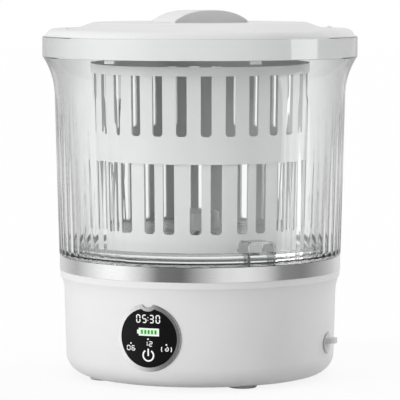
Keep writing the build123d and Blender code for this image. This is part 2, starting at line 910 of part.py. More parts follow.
def make_pulsator():
    bore = shaft_radius + fit_gap
    rim_z_top = floor_top + pulsator_skirt + pulsator_plate / 2
    shoulder_foot = nut_radius + deck_rib
    rim_inner = pulsator_radius - pulsator_plate
    shaft_top = hub_top - hub_screw[3] + shaft_flat
    body = turned(
        Polyline(
            (0, pulsator_bottom),
            (shoulder_foot, pulsator_bottom),
            (rim_inner, rim_z_top - pulsator_plate),
            (rim_inner, floor_top + pulsator_skirt / 2),
            (pulsator_radius, floor_top + pulsator_skirt / 2),
            (pulsator_radius, rim_z_top - pulsator_plate / 3),
            (pulsator_radius - pulsator_plate / 3, rim_z_top),
            (shoulder_foot, pulsator_top),
            (hub_shoulder, seat_z - vane_height / 3),
            (hub_shoulder, seat_z),
            (0, seat_z),
            close=True,
        )
    )
    body += Pos(0, 0, seat_z) * extrude(hexagon(hub_flats), hub_height)
    crown = turned(
        Polyline(
            (0, pulsator_bottom + pulsator_plate / 2),
            (pulsator_radius - vane_thickness / 2, floor_top + pulsator_skirt),
            (pulsator_radius - vane_thickness / 2, rim_z_top),
            (vane_shoulder, vane_top),
            (0, vane_top),
            close=True,
        )
    )
    reach = pulsator_radius - hub_shoulder / 2
    arm = RadiusArc((0, -hub_shoulder / 2), (0, -pulsator_radius), vane_bend)
    sheet = Pos(0, 0, floor_top) * trace(arm, vane_thickness)
    blade = extrude(sheet, reach) & crown
    body += [Rot(0, 0, number * 360 / vane_count) * blade for number in range(vane_count)]
    flat = block(2 * shaft_radius, shaft_radius, shaft_top - shaft_flat_length, shaft_top)
    bore_shape = disc(bore, pulsator_bottom, shaft_top + fit_gap)
    bore_shape -= Pos(0, shaft_radius * 3 / 2 - shaft_flat + fit_gap, 0) * flat
    body -= bore_shape
    body -= disc(hub_screw[2] + hole_gap, shaft_top, hub_top)
    return body - disc(hub_screw[0] + flat_gap, shaft_top + 2 * shaft_flat, hub_top)


def hexagon(flats):
    return RegularPolygon(flats / 2, 6, major_radius=False)


# The basket

def slot_cutter(width, height, z):
    """A slot with a square head and rounded foot corners, cut outwards through the wall."""
    foot = Pos(0, height / 2) * RectangleRounded(width, height, slot_corner)
    head = Pos(0, height * 3 / 4) * Rectangle(width, height / 2)
    start = basket_radius - 2 * basket_wall
    inside = Plane(origin=(0, -start, z), x_dir=(1, 0, 0), z_dir=(0, -1, 0))
    return extrude(inside * (foot + head), rim_radius - start)


def make_basket():
    step_z = basket_floor_z - basket_corner
    lower_top = basket_radius + basket_draft
    upper_top = band_radius + upper_draft
    outline = Polyline(
        (0, basket_floor_z),
        (basket_radius - basket_wall, basket_floor_z),
        (basket_radius - basket_wall - basket_corner / 2, skirt_z),
        (basket_radius - basket_corner, skirt_z),
        (basket_radius - basket_corner / 3, skirt_z + basket_corner / 2),
        (basket_radius, step_z),
        (lower_top, band_z),
        (band_radius, band_z),
        (upper_top, rim_z),
        (rim_radius, rim_z),
        (rim_radius, basket_top),
        (upper_top - basket_wall, basket_top),
        (upper_top - basket_wall, rim_z),
        (band_radius - basket_wall, band_z + basket_wall),
        (lower_top - basket_wall, band_z - basket_wall),
        (basket_radius - basket_wall, basket_floor_z + basket_floor + basket_corner),
        (basket_radius - basket_wall - basket_corner, basket_floor_z + basket_floor),
        (0, basket_floor_z + basket_floor),
        close=True,
    )
    basket = turned(outline)
    socket_foot = hub_shoulder
    socket_head = hub_flats / math.sqrt(3) + socket_wall
    basket += turned(
        Polyline(
            (0, seat_z),
            (socket_foot, seat_z),
            (socket_foot, basket_floor_z + basket_floor),
            (socket_head, hub_top),
            (socket_head - socket_wall, hub_top + socket_wall),
            (0, hub_top + socket_wall),
            close=True,
        )
    )
    basket -= Pos(0, 0, seat_z) * extrude(hexagon(hub_flats + 2 * socket_gap), hub_height + flat_gap)
    step = 360 / slot_count
    upper = slot_cutter(upper_slot_width, upper_slot_height, upper_slot_z)
    lower = slot_cutter(lower_slot_width, lower_slot_height, lower_slot_z)
    half_spread = math.degrees(lower_slot_spread / 2 / basket_radius)
    cutters = []
    for number in range(slot_count):
        cutters.append(Rot(0, 0, slot_turn + number * step) * upper)
        side = 1 if number % 2 else -1
        middle = slot_turn + (number - number % 2) * step
        cutters.append(Rot(0, 0, middle + side * half_spread) * lower)
    drain_start = hub_shoulder + 2 * basket_wall
    drain_length = basket_radius - 2 * basket_wall - basket_corner - drain_start
    drain = SlotOverall(drain_length, floor_slot_width, rotation=90)
    for number in range(floor_slots):
        place = around(drain_start + drain_length / 2, number * 360 / floor_slots, basket_floor_z)
        cutters.append(place * extrude(drain, basket_floor))
    return basket - cutters


# The lid

def lid_body(inset):
    """The lid's outer form, drawn in by an inset, down to its seat."""
    radius = lid_radius - inset
    shoulder_z = tub_top + lid_shoulder - inset / 2
    bead = (lid_radius - bead_inset, tub_top + bead_rise - inset)
    valley = (lid_radius - valley_inset, tub_top + bead_rise - valley_drop - inset)
    turn = math.cos(math.radians(45))
    middle = (
        bead[0] + (radius - bead[0]) * turn,
        shoulder_z + (bead[1] - shoulder_z) * turn,
    )
    outline = [
        Polyline((0, ledge_z), (radius, ledge_z), (radius, shoulder_z)),
        ThreePointArc((radius, shoulder_z), middle, bead),
        TangentArc(bead, valley, tangent=(-1, 0)),
        Polyline(valley, (plateau_radius, plateau_z - inset), (0, plateau_z - inset), (0, ledge_z)),
    ]
    return turned(outline)


def make_lid_shell():
    shell = lid_body(0) - lid_body(lid_wall)
    shell += disc(well_radius + lid_wall, well_under, plateau_z - lid_wall / 2)
    shell -= disc(well_radius, well_z, plateau_z)
    lug_inner = lid_radius - lid_wall - lug_height
    lug_middle = lug_inner + lug_height / 2
    upper = block(lug_width, lug_height + lid_wall, ledge_z, ledge_z + 2 * lug_height)
    lower = block(lug_width, lug_height - flat_gap, ledge_z - lug_height, ledge_z)
    for turn in (lug_angle, lug_angle - lug_spread, lug_angle + 180, lug_angle - lug_spread + 180):
        shell += around(lug_middle + lid_wall / 2, turn) * upper
        shell += around(lug_middle - flat_gap / 2, turn) * lower
    nub = Pos(0, 0, tub_top + bead_rise - nub_radius / 2) * Sphere(nub_radius)
    for turn in QUARTERS:
        shell += around(nub_circle, nub_angle + turn) * nub
    for place in grip_screw_places:
        shell -= place * Pos(0, 0, well_z) * hole(small_screw, lid_wall)
    return shell


def grip_body(inset):
    """The grip's dome between its two flat sides, drawn in by an inset."""
    radius = well_radius - flat_gap - inset
    flat = grip_flat - inset / 2
    drop = grip_crown - math.sqrt(grip_crown**2 - (radius - flat) ** 2)
    top = grip_top - inset
    outline = [
        Polyline((0, well_z), (radius, well_z), (radius, top - drop)),
        TangentArc((flat, top), (radius, top - drop), tangent=(1, 0)),
        Polyline((flat, top), (0, top), (0, well_z)),
    ]
    return turned(outline) & grip_place * block(2 * well_radius, grip_width - 2 * inset, well_z, grip_top)


def make_lid_handle():
    handle = grip_body(0) - grip_body(lid_wall)
    for place in grip_screw_places:
        handle += place * disc(2 * small_screw[0], well_z, grip_top) & grip_body(0)
        handle -= place * Pos(0, 0, well_z) * HEAD_DOWN * hole(small_screw, small_screw[3])
    return handle


# Battery, boards and cables

def make_battery_holder():
    width = holder_inner_width + 2 * holder_wall
    length = holder_inner_length + 2 * holder_wall
    tray = block(width, length, cover_top, cover_top + holder_height)
    tray -= block(holder_inner_width, holder_inner_length, cover_top + holder_wall, cover_top + holder_height)
    return holder_place * tray


def make_cell(side):
    nub_length = cell_length / 40
    cell = Cylinder(cell_radius, cell_length - nub_length, align=STANDING)
    cell += Pos(0, 0, cell_length - nub_length) * Cylinder(cell_radius / 3, nub_length, align=STANDING)
    place = Pos(side * (cell_radius + cell_gap / 2), cell_length / 2, cover_top + holder_wall + cell_radius)
    return holder_place * place * Rot(90, 0, 0) * cell


def make_control_board():
    """The main board with its chip, its coil and a connector for each cable."""
    board = block(control_width, control_depth, control_z, connector_z)
    for side in (-1, 1):
        for end in (-1, 1):
            corner = Pos(side * board_edge_x, end * board_edge_y, connector_z)
            board -= corner * hole(small_screw, board_thickness)
    chip = block(chip_size, chip_size, connector_z, connector_z + board_thickness)
    board += Pos(-chip_size / 2, 0, 0) * chip
    board += Pos(chip_size, -chip_size, 0) * disc(coil_radius, connector_z, connector_z + connector_height)
    board = control_place * board
    plug = block(connector_width, connector_depth, connector_z, connector_z + connector_height)
    for x, y, turn in control_plugs:
        board += Pos(x, y, 0) * Rot(0, 0, turn) * Pos(0, connector_depth / 2, 0) * plug
    return board


def ribbon(route, plane, width, thickness):
    """A flat cable of one width along a route of straight runs and bends."""
    return sweep(plane * Rectangle(width, thickness), path=route)


def make_display_cable():
    plug_back = (display_cable_x, board_thickness + connector_depth - display_y, display_plug_z)
    start = Vector(*plug_back)
    end = Vector(display_cable_x, display_cable_end_y, ribbon_z)
    middle_y = (start.Y + end.Y) / 2
    route = FilletPolyline(
        start, (start.X, middle_y, start.Z), (start.X, middle_y, end.Z), end, radius=cable_bend
    )
    plane = Plane(origin=start, x_dir=(1, 0, 0), z_dir=(0, 1, 0))
    return ribbon(route, plane, ribbon_width, ribbon_thickness)


def make_motor_cable():
    level = (connector_z + motor_bottom + motor_cap) / 2
    plane = Plane(origin=(motor_cable_x, motor_plug_y, level), x_dir=(1, 0, 0), z_dir=(0, -1, 0))
    return extrude(plane * Rectangle(ribbon_width, ribbon_thickness), motor_plug_y - control_back_y)


def make_battery_cable():
    start = Vector(holder_side_x, battery_cable_y, ribbon_z)
    end = Vector(control_x - control_width / 2, battery_cable_y, ribbon_z)
    plane = Plane(origin=start, x_dir=(0, 1, 0), z_dir=(1, 0, 0))
    return extrude(plane * Rectangle(ribbon_width, ribbon_thickness), (end - start).length)


def make_charge_cable():
    start = Vector(charge_cable_x, charge_front, port_z - charge_board / 2)
    end = Vector(charge_turn_x, control_back_y, start.Z)
    middle = Vector(charge_cable_x, charge_front - 2 * cable_bend, start.Z)
    turn = Vector(charge_turn_x, motor_offset + motor_radius, start.Z)
    route = FilletPolyline(start, middle, turn, end, radius=cable_bend)
    plane = Plane(origin=start, x_dir=(1, 0, 0), z_dir=(0, -1, 0))
    return ribbon(route, plane, ribbon_thickness, ribbon_thickness)


def make_charge_board():
    board = block(charge_width, charge_back - charge_front, bracket_z, port_z)
    board = Pos(0, (charge_front + charge_back) / 2, 0) * board
    for place in charge_screw_places:
        board -= place * Pos(0, 0, port_z) * hole(small_screw, charge_board)
    return board


def make_charge_port():
    """A charging socket: a rounded metal sleeve with a tongue on its mid line."""
    mouth = wall_radius(port_z) - port_sink
    middle = Plane(origin=(0, mouth - port_depth, port_z + port_height / 2), x_dir=(1, 0, 0), z_dir=(0, 1, 0))
    inner_size = (port_width - 2 * port_wall, port_height - 2 * port_wall)
    outer = RectangleRounded(port_width, port_height, port_corner)
    inner = RectangleRounded(*inner_size, port_corner - port_wall)
    sleeve = extrude(middle * outer, port_depth)
    sleeve -= extrude(middle.offset(2 * port_wall) * inner, port_depth)
    tongue = Rectangle(tongue_width, tongue_thickness)
    return sleeve + extrude(middle * tongue, port_depth - 2 * port_wall)


def group(shape, places):
    """The same piece at several places, as separate solids."""
    return Compound(children=[place * shape for place in places])


# Every piece, by the name of its node

save("base_shell", make_base_shell())
save("bottom_cover", make_bottom_cover())
cover_screw_z = base_bottom + large_screw[1] + slip_gap
cover_screws = [p * Pos(0, 0, cover_screw_z) * HEAD_DOWN for p in post_places]
save("cover_screws", group(screw(large_screw), cover_screws))
for name, place in zip(("front_right", "rear_right", "rear_left", "front_left"), foot_places):
    save(f"foot_{name}", place * make_foot())
save("trim_ring", make_trim_ring())
save("tub", make_tub())
save("drain_hood", make_drain_hood())
save("deck", make_deck())
deck_screw_z = deck_top - large_screw[1] - slip_gap
save("deck_screws", group(screw(large_screw), [p * Pos(0, 0, deck_screw_z) for p in post_places]))
save("tub_gasket", ring(bulkhead_radius + gasket_width, bulkhead_radius + slip_gap, floor_top, nut_bottom))
save("tub_nut", make_tub_nut())
save("shaft_seal", make_shaft_seal())
save("upper_bearing_outer", make_bearing_outer(boss_bottom))
save("upper_bearing_inner", make_bearing_inner(boss_bottom))
save("lower_bearing_outer", make_bearing_outer(lower_bearing_z))
save("lower_bearing_inner", make_bearing_inner(lower_bearing_z))
save("motor_plate", make_motor_plate())
plate_screws = [p * Pos(0, 0, plate_bottom) * HEAD_DOWN for p in standoff_places]
save("plate_screws", group(screw(large_screw), plate_screws))
save("motor_can", make_motor_can())
save("motor_cap", make_motor_cap())
save("motor_screws", group(screw(small_screw), [p * Pos(0, 0, plate_top) for p in motor_screw_places]))
save("motor_shaft", make_motor_shaft())
save("motor_pinion", make_motor_pinion())
save("drive_gear", make_drive_gear())
save("drive_shaft", make_drive_shaft())
save("pulsator", make_pulsator())
save("pulsator_screw", Pos(0, 0, hub_top - hub_screw[3] + 3 * shaft_flat) * screw(hub_screw))
save("basket", make_basket())
save("lid_shell", make_lid_shell())
save("lid_handle", make_lid_handle())
lid_screws = [p * Pos(0, 0, well_under) * HEAD_DOWN for p in grip_screw_places]
save("lid_screws", group(screw(small_screw), lid_screws))
save("panel_bezel", make_panel_bezel())
save("panel_lens", make_panel_lens())
save("light_mask", make_light_mask())
save("display_board", make_display_board())
board_back = Pos(0, board_thickness, 0) * HEAD_INWARD
save("display_screws", group(screw(display_screw), [p * board_back for p in display_screw_places]))
save("battery_holder", make_battery_holder())
save("battery_cell_left", make_cell(-1))
save("battery_cell_right", make_cell(1))
save("control_board", make_control_board())
control_screws = [p * Pos(0, 0, connector_z) for p in control_screw_places]
save("control_screws", group(screw(small_screw), control_screws))
save("charge_board", make_charge_board())
save("charge_port", make_charge_port())
save("charge_screws", group(screw(small_screw), [p * Pos(0, 0, port_z) for p in charge_screw_places]))
save("drain_hose", make_drain_hose())
save("drain_outlet", make_drain_outlet())
save("drain_plug", make_drain_plug())
save("display_cable", make_display_cable())
save("motor_cable", make_motor_cable())
save("battery_cable", make_battery_cable())
save("charge_cable", make_charge_cable())
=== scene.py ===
import json
import math

import bmesh
import bpy
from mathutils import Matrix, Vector
from mathutils.bvhtree import BVHTree


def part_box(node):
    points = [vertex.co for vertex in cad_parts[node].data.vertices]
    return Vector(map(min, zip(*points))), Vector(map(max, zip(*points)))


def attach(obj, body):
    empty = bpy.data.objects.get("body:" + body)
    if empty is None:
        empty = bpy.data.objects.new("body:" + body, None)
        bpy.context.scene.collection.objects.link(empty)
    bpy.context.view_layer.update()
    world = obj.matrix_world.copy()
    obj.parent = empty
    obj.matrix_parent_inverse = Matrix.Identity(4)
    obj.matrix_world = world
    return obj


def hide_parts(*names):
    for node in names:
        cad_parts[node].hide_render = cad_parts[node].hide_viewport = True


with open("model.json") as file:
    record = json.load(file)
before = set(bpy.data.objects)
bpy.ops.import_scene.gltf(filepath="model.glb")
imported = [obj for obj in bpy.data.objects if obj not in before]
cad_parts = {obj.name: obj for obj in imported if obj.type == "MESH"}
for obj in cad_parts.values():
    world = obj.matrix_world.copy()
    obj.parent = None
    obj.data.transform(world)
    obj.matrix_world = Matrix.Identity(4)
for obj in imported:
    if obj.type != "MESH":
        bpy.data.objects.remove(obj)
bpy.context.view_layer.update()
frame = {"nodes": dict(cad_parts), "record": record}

# Lengths are in millimetres unless a comment says metres, and become metres when a mesh is made.
MM = 0.001

# The photograph's view: where the camera stands and what it aims at
camera_azimuth = math.radians(21.5)
camera_distance = 1850.3
camera_height = 270.8
aim_height = 119.6
camera_lens = 243.3
sensor_width = 36.0

# Studio: brightness by direction, seen from the object, in degrees to the right of the camera
reflected_studio = [
    (-150, 0.72),
    (-120, 0.5),
    (-102, 0.8),
    (-82, 1.1),
    (-66, 1.1),
    (-50, 0.75),
    (-34, 0.2),
    (-14, 0.16),
    (2, 0.5),
    (18, 0.8),
    (38, 0.86),
    (54, 0.7),
    (70, 0.27),
    (92, 0.22),
    (118, 0.45),
    (150, 0.75),
]
ambient_level = 0.45
diffuse_bounces = 1

# Lamps: strength, degrees to the right of the camera, degrees above the table, and spread
studio_lamps = {
    "key_lamp": (1.43, -61, 12, 24),
    "fill_lamp": (0.95, 120, 20, 40),
    "top_lamp": (0.785, 0, 89, 60),
}

# A tall softbox beside the tub, which shines on the tub alone: its place to the right of the axis,
# towards the camera and above the table, its width and height, and its power
softbox_place = (359, 121, 125)
softbox_size = (150, 250)
softbox_power = 0.25

# Floor: half its width, the squares along it, the paper's brightness and how white the camera sees it
floor_reach = 8000.0
floor_squares = 8
floor_albedo = 0.85
floor_cloud = 0.01
floor_cloud_scale = 40.0
floor_roughness = 0.9
floor_glow = 1.035
floor_glow_share = 0.85

# Finishes: a scale is per metre, a depth is in metres, and a swing gives the lowest and the highest
# share of the plain colour or roughness
noise_range = (0.3, 0.7)
cloud_scale = 22.0
plastic_roughness_swing = (0.88, 1.12)
plastic_detail = 2.0
plastic_relief = 0.35
metal_colour_swing = (0.94, 1.04)
metal_roughness_swing = (0.75, 1.3)
metal_detail = 4.0
metal_relief = 0.25
lit_colour_swing = (0.88, 1.0)
lit_cloud_scale = 700.0
lit_roughness = 0.3
unlit_share = 0.05

# Clear plastic: its colour, its waves, and the grey that it takes above a height where its walls turn
# away
clear_ior = 1.49
clear_colour = (0.99, 0.995, 0.995)
clear_shadow = (0.985, 0.99, 0.99, 1)
wave_scale = 60.0
wave_detail = 2.0
wave_stretch = (1, 1, 0.15)
wave_roughness = 0.03
wave_relief = 0.2
wave_depth = 0.0002
turned_from = 0.05
tint_above = 83.6
tub_edge_level = 0.2
tub_edge_steepness = 1.5
hood_edge_level = 0.0
hood_edge_steepness = 0.9

# The clear tub's section, and the wall of the ring that its spigot passes through
ring_wall = 1.2
tub_wall = 2.2
tub_floor = 2.5
tub_step = 1.5
tub_draft = 2.8
spigot_wall = 2.2
spigot_gap = 0.05
flare_drop = 39.6
flare_radius = 45.0
inner_flare_radius = 44.2
flare_wall = 2.6
collar_wall = 2.0
collar_height = 13.6
foot_fillet = 4.5
bulkhead_bore = 10.95
edge_round = 0.5

# The tub's flutes, which the plain window interrupts
flute_count = 64
flute_rod = 20.0
flute_depth = 0.6
flute_start = 5.0
flute_length = 104.0
flute_blend = 0.05
flute_reach = 1.0
window_angle = 22.0
window_half = 31.0

# The tub's drain
drain_angle = 47.0
drain_circle = 79.5
drain_bore = 4.0
drain_wall = 1.2

# The tub's mesh: steps round a flute and round a bore, rows up each stretch of the section, and the
# angle from which an edge is sharp
flute_steps = 14
circle_steps = 48
flute_end_rows = 24
wall_rows = 18
flare_rows = 20
inner_wall_rows = 3
fillet_rows = 8
sharp_angle = math.radians(32)

# Signs on the display: sizes are width and height, and a rise is above the panel's middle. Rays find
# the lens from in front of the bezel, and corners that agree to some decimals are one vertex.
sign_proud = 0.06
ray_start = 10.0
corner_decimals = 3
dot_steps = 16
digit_size = (3.1, 5.6)
digit_stroke = 0.72
bar_gap_share = 0.12
clock_digits = ((-6.9, "0"), (-2.5, "5"), (2.6, "3"), (7.0, "0"))
clock_rise = 12.6
colon_x = 0.05
colon_half = 0.9
colon_dot = 0.3

# The charge sign: a white frame with a nub at its left, a pale field that lies over it, and bars over
# that
charge_x = 0.5
charge_rise = 3.9
charge_size = (14.4, 5.1)
charge_frame = 0.7
charge_nub_width = 1.1
charge_nub_gap = 0.05
charge_bars = 5
charge_bar_margins = (1.2, 1.3)
charge_bar_share = 0.54
field_layers = 1.5
bar_layers = 2.0

# The program signs
label_size = (2.7, 3.5)
label_pitch = 3.5
label_stroke = 0.55
label_rise = -7.2
middle_label_rise = -3.9
label_spread = 12.6
label_dot = 3.1
swirl_start = 0.2
swirl_growth = 1.4
swirl_turns = (20, 440)
swirl_steps = 44
swirl_side_radius = 3.4
swirl_side_half = 28
swirl_side_steps = 8

# The power sign: the half of its opening in degrees, and its stem in shares of the radius
power_rise = -11.6
power_radius = 3.7
power_stroke = 1.0
power_opening = 35
power_stem_middle = 0.55
power_stem_length = 1.3


# Geometry helpers

def polar(radius, angle, z):
    """A place at a radius and an angle in degrees from the display towards +X."""
    turn = math.radians(angle)
    return (radius * math.sin(turn), -radius * math.cos(turn), z)


def tangent_arc(start, direction, end, count):
    """Points after start along the arc that leaves it in a direction and ends at end."""
    chord = (end[0] - start[0], end[1] - start[1])
    length = math.hypot(*chord)
    lean = math.atan2(*chord) - math.atan2(*direction)
    points = []
    for number in range(1, count + 1):
        share = number / count
        reach = length * math.sin(lean * share) / math.sin(lean)
        heading = math.atan2(*direction) + lean * share
        points.append((start[0] + reach * math.sin(heading), start[1] + reach * math.cos(heading)))
    return points


def line(start, end, count):
    """Points after start along a straight line to end."""
    shares = [number / count for number in range(1, count + 1)]
    return [(start[0] + (end[0] - start[0]) * s, start[1] + (end[1] - start[1]) * s) for s in shares]


def circle(centre, radius, count):
    """Points round a flat circle."""
    turns = [2 * math.pi * number / count for number in range(count)]
    return [(centre[0] + radius * math.cos(turn), centre[1] + radius * math.sin(turn)) for turn in turns]


def linked(name, data):
    """An object in the scene for a mesh, a lamp or a camera."""
    made = bpy.data.objects.new(name, data)
    bpy.context.scene.collection.objects.link(made)
    return made


def mesh_object(name, build, material):
    """An object in metres from a bmesh in millimetres."""
    for vertex in build.verts:
        vertex.co *= MM
    mesh = bpy.data.meshes.new(name)
    build.to_mesh(mesh)
    build.free()
    mesh.materials.append(material)
    return linked(name, mesh)


def new_piece(name, build, material):
    """A piece that stays with the base, tub and display."""
    piece = mesh_object(name, build, material)
    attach(piece, "root")
    return piece


# Material helpers

def add(tree, kind, **values):
    """A new node, with its properties and its inputs set by name."""
    node = tree.nodes.new(kind)
    for key, value in values.items():
        if hasattr(node, key):
            setattr(node, key, value)
        else:
            node.inputs[key.replace("_", " ")].default_value = value
    return node


def new_material(name):
    """A material, its node tree and its shader."""
    material = bpy.data.materials.new(name)
    material.use_nodes = True
    tree = material.node_tree
    return material, tree, tree.nodes["Principled BSDF"]


def noise(tree, scale, detail=3.0, stretch=(1, 1, 1)):
    """Noise in the object's own metres."""
    place = add(tree, "ShaderNodeTexCoord")
    mapping = add(tree, "ShaderNodeMapping")
    mapping.inputs["Scale"].default_value = stretch
    texture = add(tree, "ShaderNodeTexNoise", Scale=scale, Detail=detail)
    tree.links.new(place.outputs["Object"], mapping.inputs["Vector"])
    tree.links.new(mapping.outputs["Vector"], texture.inputs["Vector"])
    return texture.outputs["Fac"]


def spread(tree, value, low, high):
    """A noise value brought between two limits."""
    lowest, highest = noise_range
    node = add(tree, "ShaderNodeMapRange", From_Min=lowest, From_Max=highest, To_Min=low, To_Max=high)
    tree.links.new(value, node.inputs["Value"])
    return node.outputs["Result"]


def tint(tree, value, dark, light):
    """A colour between two, by a value."""
    node = add(tree, "ShaderNodeMix", data_type="RGBA")
    node.inputs["A"].default_value = (*dark, 1)
    node.inputs["B"].default_value = (*light, 1)
    tree.links.new(value, node.inputs["Factor"])
    return node.outputs["Result"]


def clouds(tree, scale, dark, light):
    """A colour that drifts between two in soft clouds."""
    return tint(tree, spread(tree, noise(tree, scale), 0.0, 1.0), dark, light)


def compute(tree, operation, *values):
    """A math node's result for values or sockets."""
    node = add(tree, "ShaderNodeMath", operation=operation)
    for socket, value in zip(node.inputs, values):
        if isinstance(value, (int, float)):
            socket.default_value = value
        else:
            tree.links.new(value, socket)
    return node.outputs[0]


def relief(tree, shader, height, strength, distance):
    """A bump on the shader's surface, from a height."""
    node = add(tree, "ShaderNodeBump", Strength=strength, Distance=distance)
    tree.links.new(height, node.inputs["Height"])
    tree.links.new(node.outputs["Normal"], shader.inputs["Normal"])


def mixed_surface(tree, share, first, second):
    """The material's surface as a mix of two shaders, by the share of the second."""
    mix = add(tree, "ShaderNodeMixShader")
    for socket, source in zip(mix.inputs, (share, first.outputs[0], second.outputs[0])):
        tree.links.new(source, socket)
    tree.links.new(mix.outputs[0], tree.nodes["Material Output"].inputs["Surface"])


def scaled(colour, factor):
    """A colour made darker or lighter, up to white."""
    return tuple(min(1.0, channel * factor) for channel in colour)


def grey(level):
    """A colour with the same level in each channel."""
    return (level, level, level)


def plastic(name, colour, roughness, grain=1800.0, depth=0.00002, cloud=0.02, gloss=0.5, coat=0.0):
    """A moulded plastic or rubber: faint clouds in the colour, a fine grain in the surface."""
    material, tree, shader = new_material(name)
    colours = (scaled(colour, 1 - cloud), scaled(colour, 1 + cloud))
    tree.links.new(clouds(tree, cloud_scale, *colours), shader.inputs["Base Color"])
    fine = noise(tree, grain, plastic_detail)
    limits = (roughness * swing for swing in plastic_roughness_swing)
    tree.links.new(spread(tree, fine, *limits), shader.inputs["Roughness"])
    relief(tree, shader, fine, plastic_relief, depth)
    shader.inputs["Specular IOR Level"].default_value = gloss
    shader.inputs["Coat Weight"].default_value = coat
    return material


def metal(name, colour, roughness, stretch=(1, 1, 1), grain=900.0, depth=0.000015):
    """A machined or brushed metal, with lines across the axis of the largest stretch."""
    material, tree, shader = new_material(name)
    shader.inputs["Metallic"].default_value = 1.0
    lines = noise(tree, grain, metal_detail, stretch)
    colours = (scaled(colour, swing) for swing in metal_colour_swing)
    tree.links.new(tint(tree, spread(tree, lines, 0.0, 1.0), *colours), shader.inputs["Base Color"])
    limits = (roughness * swing for swing in metal_roughness_swing)
    tree.links.new(spread(tree, lines, *limits), shader.inputs["Roughness"])
    relief(tree, shader, lines, metal_relief, depth)
    return material


def clear(name, edge_level, steepness):
    """A clear moulded plastic that darkens where its walls turn away, and lets light in. What is below
    tint_above, such as the tub's floor, stays clear."""
    material, tree, shader = new_material(name)
    shader.inputs["Transmission Weight"].default_value = 1.0
    shader.inputs["IOR"].default_value = clear_ior
    facing = add(tree, "ShaderNodeLayerWeight", Blend=0.5)
    turned = add(tree, "ShaderNodeMapRange", From_Min=turned_from, From_Max=1.0)
    tree.links.new(facing.outputs["Facing"], turned.inputs["Value"])
    steep = compute(tree, "POWER", turned.outputs["Result"], steepness)
    place = add(tree, "ShaderNodeTexCoord")
    axes = add(tree, "ShaderNodeSeparateXYZ")
    tree.links.new(place.outputs["Object"], axes.inputs[0])
    above = compute(tree, "GREATER_THAN", axes.outputs["Z"], tint_above * MM)
    tinted = tint(tree, compute(tree, "MULTIPLY", steep, above), clear_colour, grey(edge_level))
    tree.links.new(tinted, shader.inputs["Base Color"])
    waves = noise(tree, wave_scale, wave_detail, wave_stretch)
    tree.links.new(spread(tree, waves, 0.0, wave_roughness), shader.inputs["Roughness"])
    relief(tree, shader, waves, wave_relief, wave_depth)
    path = add(tree, "ShaderNodeLightPath")
    light_rays = compute(tree, "MAXIMUM", path.outputs["Is Shadow Ray"], path.outputs["Is Diffuse Ray"])
    passing = add(tree, "ShaderNodeBsdfTransparent", Color=clear_shadow)
    mixed_surface(tree, light_rays, shader, passing)
    return material


def glowing(name, colour):
    """A lit sign, a little uneven as printed ink over a lamp is."""
    material, tree, shader = new_material(name)
    shader.inputs["Base Color"].default_value = (*scaled(colour, unlit_share), 1)
    shader.inputs["Roughness"].default_value = lit_roughness
    colours = (scaled(colour, swing) for swing in lit_colour_swing)
    tree.links.new(clouds(tree, lit_cloud_scale, *colours), shader.inputs["Emission Color"])
    shader.inputs["Emission Strength"].default_value = 1.0
    return material


# Materials, by the frame's slots

def finish(node_name, material):
    """A material in each of a node's slots."""
    for material_slot in frame["nodes"][node_name].material_slots:
        material_slot.material = material


slot_materials = {
    "white_shell": plastic("white_shell_finish", (0.86, 0.86, 0.86), 0.34, coat=0.15),
    "clear_tub": clear("clear_tub_finish", tub_edge_level, tub_edge_steepness),
    "white_basket": plastic("white_basket_finish", (0.84, 0.84, 0.84), 0.3),
    "white_pulsator": plastic("white_pulsator_finish", (0.82, 0.82, 0.82), 0.35),
    "bright_ring": metal("bright_ring_finish", (0.86, 0.86, 0.87), 0.13, stretch=(25, 25, 900), grain=8.0),
    "silver_bezel": metal("silver_bezel_finish", (0.82, 0.82, 0.83), 0.2, grain=700.0),
    "black_lens": plastic(
        "black_lens_finish", (0.008, 0.008, 0.009), 0.09, grain=300.0, depth=0.000003, gloss=0.12
    ),
    "foot_rubber": plastic("foot_rubber_finish", (0.6, 0.6, 0.6), 0.6, grain=900.0, depth=0.00005),
    "plug_rubber": plastic("plug_rubber_finish", (0.78, 0.78, 0.78), 0.5, grain=1200.0),
    "seal_rubber": plastic("seal_rubber_finish", (0.05, 0.05, 0.05), 0.6, grain=900.0),
    "hose_rubber": plastic("hose_rubber_finish", (0.7, 0.7, 0.7), 0.5),
    "grey_plastic": plastic("grey_plastic_finish", (0.8, 0.8, 0.8), 0.45),
    "gear_plastic": plastic("gear_plastic_finish", (0.82, 0.8, 0.75), 0.42),
    "steel": metal("steel_finish", (0.62, 0.62, 0.63), 0.3),
    "brass": metal("brass_finish", (0.75, 0.58, 0.3), 0.3),
    "motor_end": plastic("motor_end_finish", (0.06, 0.06, 0.06), 0.5),
    "cell_wrap": plastic("cell_wrap_finish", (0.12, 0.3, 0.5), 0.35),
    "board_green": plastic("board_green_finish", (0.05, 0.24, 0.11), 0.4, grain=600.0, cloud=0.12),
    "cable": plastic("cable_finish", (0.16, 0.16, 0.17), 0.5),
}
for part in frame["record"]["subparts"]:
    finish(part["node"], slot_materials[part["material_slot"]])

# The hood over the drain shows a darker outline than the tub does, so it has its own finish.
finish("drain_hood", clear("drain_hood_finish", hood_edge_level, hood_edge_steepness))


# The clear tub

ring_low, ring_high = (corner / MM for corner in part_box("trim_ring"))
tub_low, tub_high = (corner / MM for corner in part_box("tub"))
ring_top = ring_high.z
spigot_foot = ring_low.z
spigot_outer = ring_high.x - ring_wall - spigot_gap
spigot_inner = spigot_outer - spigot_wall
foot_radius = spigot_outer + tub_step
flare_start = tub_high.z - flare_drop
flare_foot = (foot_radius + tub_draft, flare_start)
collar_radius = tub_high.x
collar_inner = collar_radius - collar_wall
ledge_z = tub_high.z - collar_height


